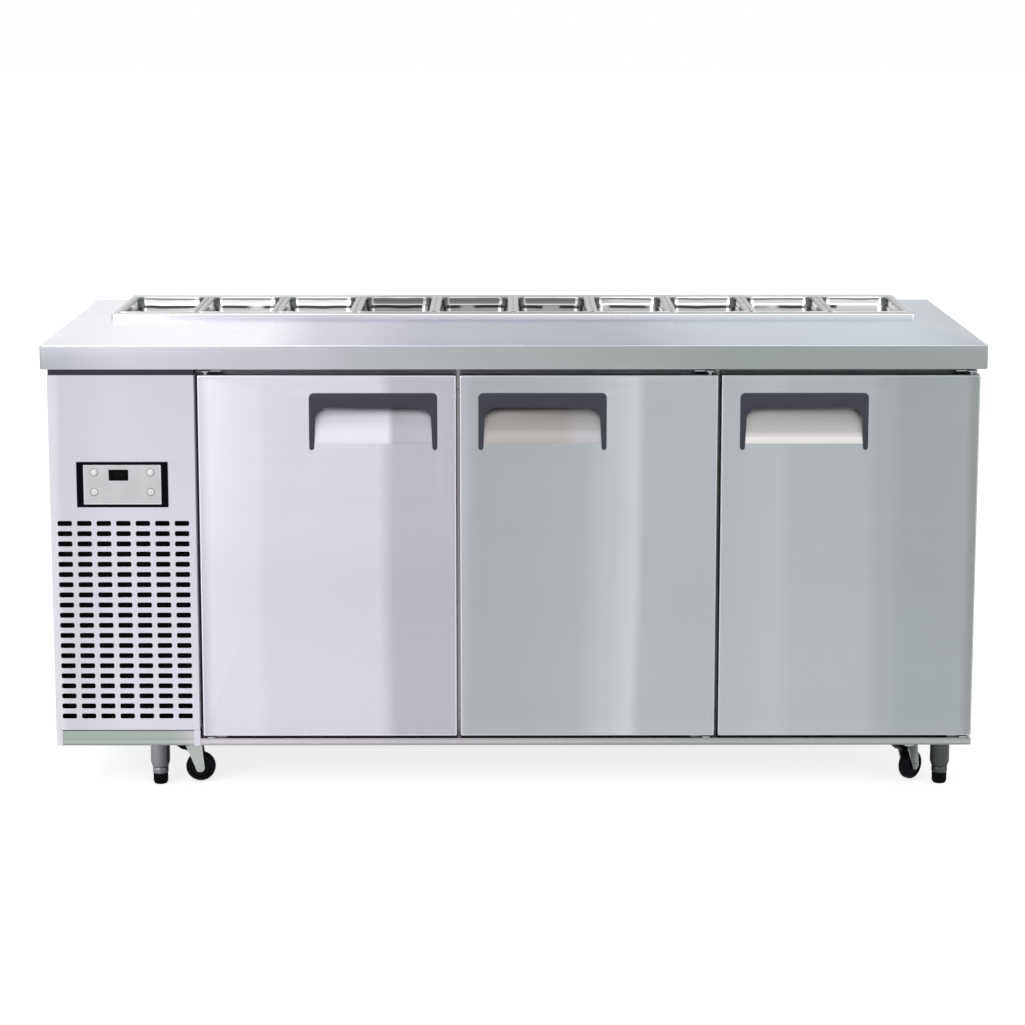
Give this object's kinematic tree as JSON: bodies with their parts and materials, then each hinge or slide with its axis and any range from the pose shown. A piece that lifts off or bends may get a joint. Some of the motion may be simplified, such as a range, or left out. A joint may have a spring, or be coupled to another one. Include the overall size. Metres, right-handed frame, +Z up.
{
  "type": "sandwich prep table",
  "caption": "Refrigerated prep table: steel worktop, raised rail of lift-out pans, hinged doors and a machine compartment, on feet and casters.",
  "frame": {"origin": "on the floor, under the middle of the worktop", "axes": "+X to the right seen from the front, +Y from the doors to the back, +Z up"},
  "size_m": [1.8, 0.7, 0.893],
  "materials": {
    "body_steel": "satin brushed",
    "worktop_steel": "satin brushed",
    "liner_steel": "satin",
    "pan_steel": "polished",
    "foam": "rigid polyurethane foam",
    "seal_rubber": "matt",
    "handle_plastic": "satin",
    "controller_plate": "satin",
    "black_plastic": "satin",
    "button_plastic": "satin",
    "compressor_paint": "semi gloss",
    "zinc": "zinc plated",
    "copper": "satin",
    "fan_plastic": "satin",
    "wheel_rubber": "matt",
    "foot_rubber": "matt"
  },
  "bodies": {
    "cabinet": {"outer_shell": "body_steel", "door_frame": "body_steel", "cabinet_foam": "foam", "inner_liner": "liner_steel", "worktop": "worktop_steel", "pan_rail": "worktop_steel", "wire_shelves": "zinc", "unit_front_panel": "body_steel", "controller_bezel": "black_plastic", "controller_face": "controller_plate", "compressor": "compressor_paint", "condenser_coil": "zinc", "fan_motors": "zinc", "evaporator_and_tubes": "copper", "evaporator_housing": "liner_steel", "hinge_brackets": "zinc", "leg_and_caster_mounts": "zinc", "cable_gland": "black_plastic", "fasteners": "zinc"},
    "door_1": {"door_1_skin": "body_steel", "door_1_core": "foam", "door_1_liner": "liner_steel", "door_1_seal": "seal_rubber", "door_1_handle": "handle_plastic"},
    "door_2": {"door_2_skin": "body_steel", "door_2_core": "foam", "door_2_liner": "liner_steel", "door_2_seal": "seal_rubber", "door_2_handle": "handle_plastic"},
    "door_3": {"door_3_skin": "body_steel", "door_3_core": "foam", "door_3_liner": "liner_steel", "door_3_seal": "seal_rubber", "door_3_handle": "handle_plastic"},
    "pan_1_body": {"pan_1": "pan_steel"},
    "pan_2_body": {"pan_2": "pan_steel"},
    "pan_3_body": {"pan_3": "pan_steel"},
    "pan_4_body": {"pan_4": "pan_steel"},
    "pan_5_body": {"pan_5": "pan_steel"},
    "pan_6_body": {"pan_6": "pan_steel"},
    "pan_7_body": {"pan_7": "pan_steel"},
    "pan_8_body": {"pan_8": "pan_steel"},
    "pan_9_body": {"pan_9": "pan_steel"},
    "pan_10_body": {"pan_10": "pan_steel"},
    "button_1": {"controller_button_1": "button_plastic"},
    "button_2": {"controller_button_2": "button_plastic"},
    "button_3": {"controller_button_3": "button_plastic"},
    "button_4": {"controller_button_4": "button_plastic"},
    "condenser_fan": {"condenser_fan_blade": "fan_plastic"},
    "evaporator_fan": {"evaporator_fan_blade": "fan_plastic"},
    "left_caster": {"left_caster_fork": "zinc"},
    "left_front_wheel_body": {"left_front_wheel": "wheel_rubber"},
    "left_pedal": {"left_brake_pedal": "black_plastic"},
    "right_caster": {"right_caster_fork": "zinc"},
    "right_front_wheel_body": {"right_front_wheel": "wheel_rubber"},
    "right_pedal": {"right_brake_pedal": "black_plastic"},
    "left_rear_wheel_body": {"left_rear_wheel": "wheel_rubber"},
    "right_rear_wheel_body": {"right_rear_wheel": "wheel_rubber"},
    "left_foot_body": {"left_foot": "foot_rubber"},
    "right_foot_body": {"right_foot": "foot_rubber"}
  },
  "joints": [
    {"name": "door_1_hinge", "type": "hinge", "parent": "cabinet", "child": "door_1", "pos_m": [-0.5895, -0.324, 0.4655], "axis": [0, 0, -1], "range_deg": [0, 100]},
    {"name": "door_2_hinge", "type": "hinge", "parent": "cabinet", "child": "door_2", "pos_m": [0.37467, -0.324, 0.4655], "axis": [0, 0, 1], "range_deg": [0, 100]},
    {"name": "door_3_hinge", "type": "hinge", "parent": "cabinet", "child": "door_3", "pos_m": [0.875, -0.324, 0.4655], "axis": [0, 0, 1], "range_deg": [0, 100]},
    {"name": "pan_1_lift", "type": "slide", "parent": "cabinet", "child": "pan_1_body", "axis": [0, 0, 1], "range_m": [0, 0.18]},
    {"name": "pan_2_lift", "type": "slide", "parent": "cabinet", "child": "pan_2_body", "axis": [0, 0, 1], "range_m": [0, 0.18]},
    {"name": "pan_3_lift", "type": "slide", "parent": "cabinet", "child": "pan_3_body", "axis": [0, 0, 1], "range_m": [0, 0.18]},
    {"name": "pan_4_lift", "type": "slide", "parent": "cabinet", "child": "pan_4_body", "axis": [0, 0, 1], "range_m": [0, 0.18]},
    {"name": "pan_5_lift", "type": "slide", "parent": "cabinet", "child": "pan_5_body", "axis": [0, 0, 1], "range_m": [0, 0.18]},
    {"name": "pan_6_lift", "type": "slide", "parent": "cabinet", "child": "pan_6_body", "axis": [0, 0, 1], "range_m": [0, 0.18]},
    {"name": "pan_7_lift", "type": "slide", "parent": "cabinet", "child": "pan_7_body", "axis": [0, 0, 1], "range_m": [0, 0.18]},
    {"name": "pan_8_lift", "type": "slide", "parent": "cabinet", "child": "pan_8_body", "axis": [0, 0, 1], "range_m": [0, 0.18]},
    {"name": "pan_9_lift", "type": "slide", "parent": "cabinet", "child": "pan_9_body", "axis": [0, 0, 1], "range_m": [0, 0.18]},
    {"name": "pan_10_lift", "type": "slide", "parent": "cabinet", "child": "pan_10_body", "axis": [0, 0, 1], "range_m": [0, 0.18]},
    {"name": "button_1_press", "type": "slide", "parent": "cabinet", "child": "button_1", "axis": [0, 1, 0], "range_m": [0, 0.001], "stiffness_N_per_m": 400},
    {"name": "button_2_press", "type": "slide", "parent": "cabinet", "child": "button_2", "axis": [0, 1, 0], "range_m": [0, 0.001], "stiffness_N_per_m": 400},
    {"name": "button_3_press", "type": "slide", "parent": "cabinet", "child": "button_3", "axis": [0, 1, 0], "range_m": [0, 0.001], "stiffness_N_per_m": 400},
    {"name": "button_4_press", "type": "slide", "parent": "cabinet", "child": "button_4", "axis": [0, 1, 0], "range_m": [0, 0.001], "stiffness_N_per_m": 400},
    {"name": "condenser_fan_spin", "type": "hinge", "parent": "cabinet", "child": "condenser_fan", "pos_m": [-0.749, -0.167, 0.2732], "axis": [0, -1, 0], "continuous": true},
    {"name": "evaporator_fan_spin", "type": "hinge", "parent": "cabinet", "child": "evaporator_fan", "pos_m": [-0.4998, 0.013, 0.555], "axis": [1, 0, 0], "continuous": true},
    {"name": "left_caster_swivel", "type": "hinge", "parent": "cabinet", "child": "left_caster", "pos_m": [-0.63, -0.27, 0.0796], "axis": [0, 0, 1], "continuous": true},
    {"name": "left_front_wheel_spin", "type": "hinge", "parent": "left_caster", "child": "left_front_wheel_body", "pos_m": [-0.618, -0.27, 0.0305], "axis": [0, -1, 0], "continuous": true},
    {"name": "left_brake_press", "type": "hinge", "parent": "left_caster", "child": "left_pedal", "pos_m": [-0.641, -0.27, 0.0686], "axis": [0, -1, 0], "range_deg": [0, 12]},
    {"name": "right_caster_swivel", "type": "hinge", "parent": "cabinet", "child": "right_caster", "pos_m": [0.776, -0.27, 0.0796], "axis": [0, 0, 1], "continuous": true},
    {"name": "right_front_wheel_spin", "type": "hinge", "parent": "right_caster", "child": "right_front_wheel_body", "pos_m": [0.78448, -0.26151, 0.0305], "axis": [0.7071, -0.7071, 0], "continuous": true},
    {"name": "right_brake_press", "type": "hinge", "parent": "right_caster", "child": "right_pedal", "pos_m": [0.76822, -0.27778, 0.0686], "axis": [0.7071, -0.7071, 0], "range_deg": [0, 12]},
    {"name": "left_rear_wheel_spin", "type": "hinge", "parent": "cabinet", "child": "left_rear_wheel_body", "pos_m": [-0.8, 0.28, 0.029], "axis": [1, 0, 0], "continuous": true},
    {"name": "right_rear_wheel_spin", "type": "hinge", "parent": "cabinet", "child": "right_rear_wheel_body", "pos_m": [0.8, 0.28, 0.029], "axis": [1, 0, 0], "continuous": true},
    {"name": "left_foot_screw", "type": "slide", "parent": "cabinet", "child": "left_foot_body", "axis": [0, 0, 1], "range_m": [-0.02, 0]},
    {"name": "right_foot_screw", "type": "slide", "parent": "cabinet", "child": "right_foot_body", "axis": [0, 0, 1], "range_m": [-0.02, 0]}
  ]
}
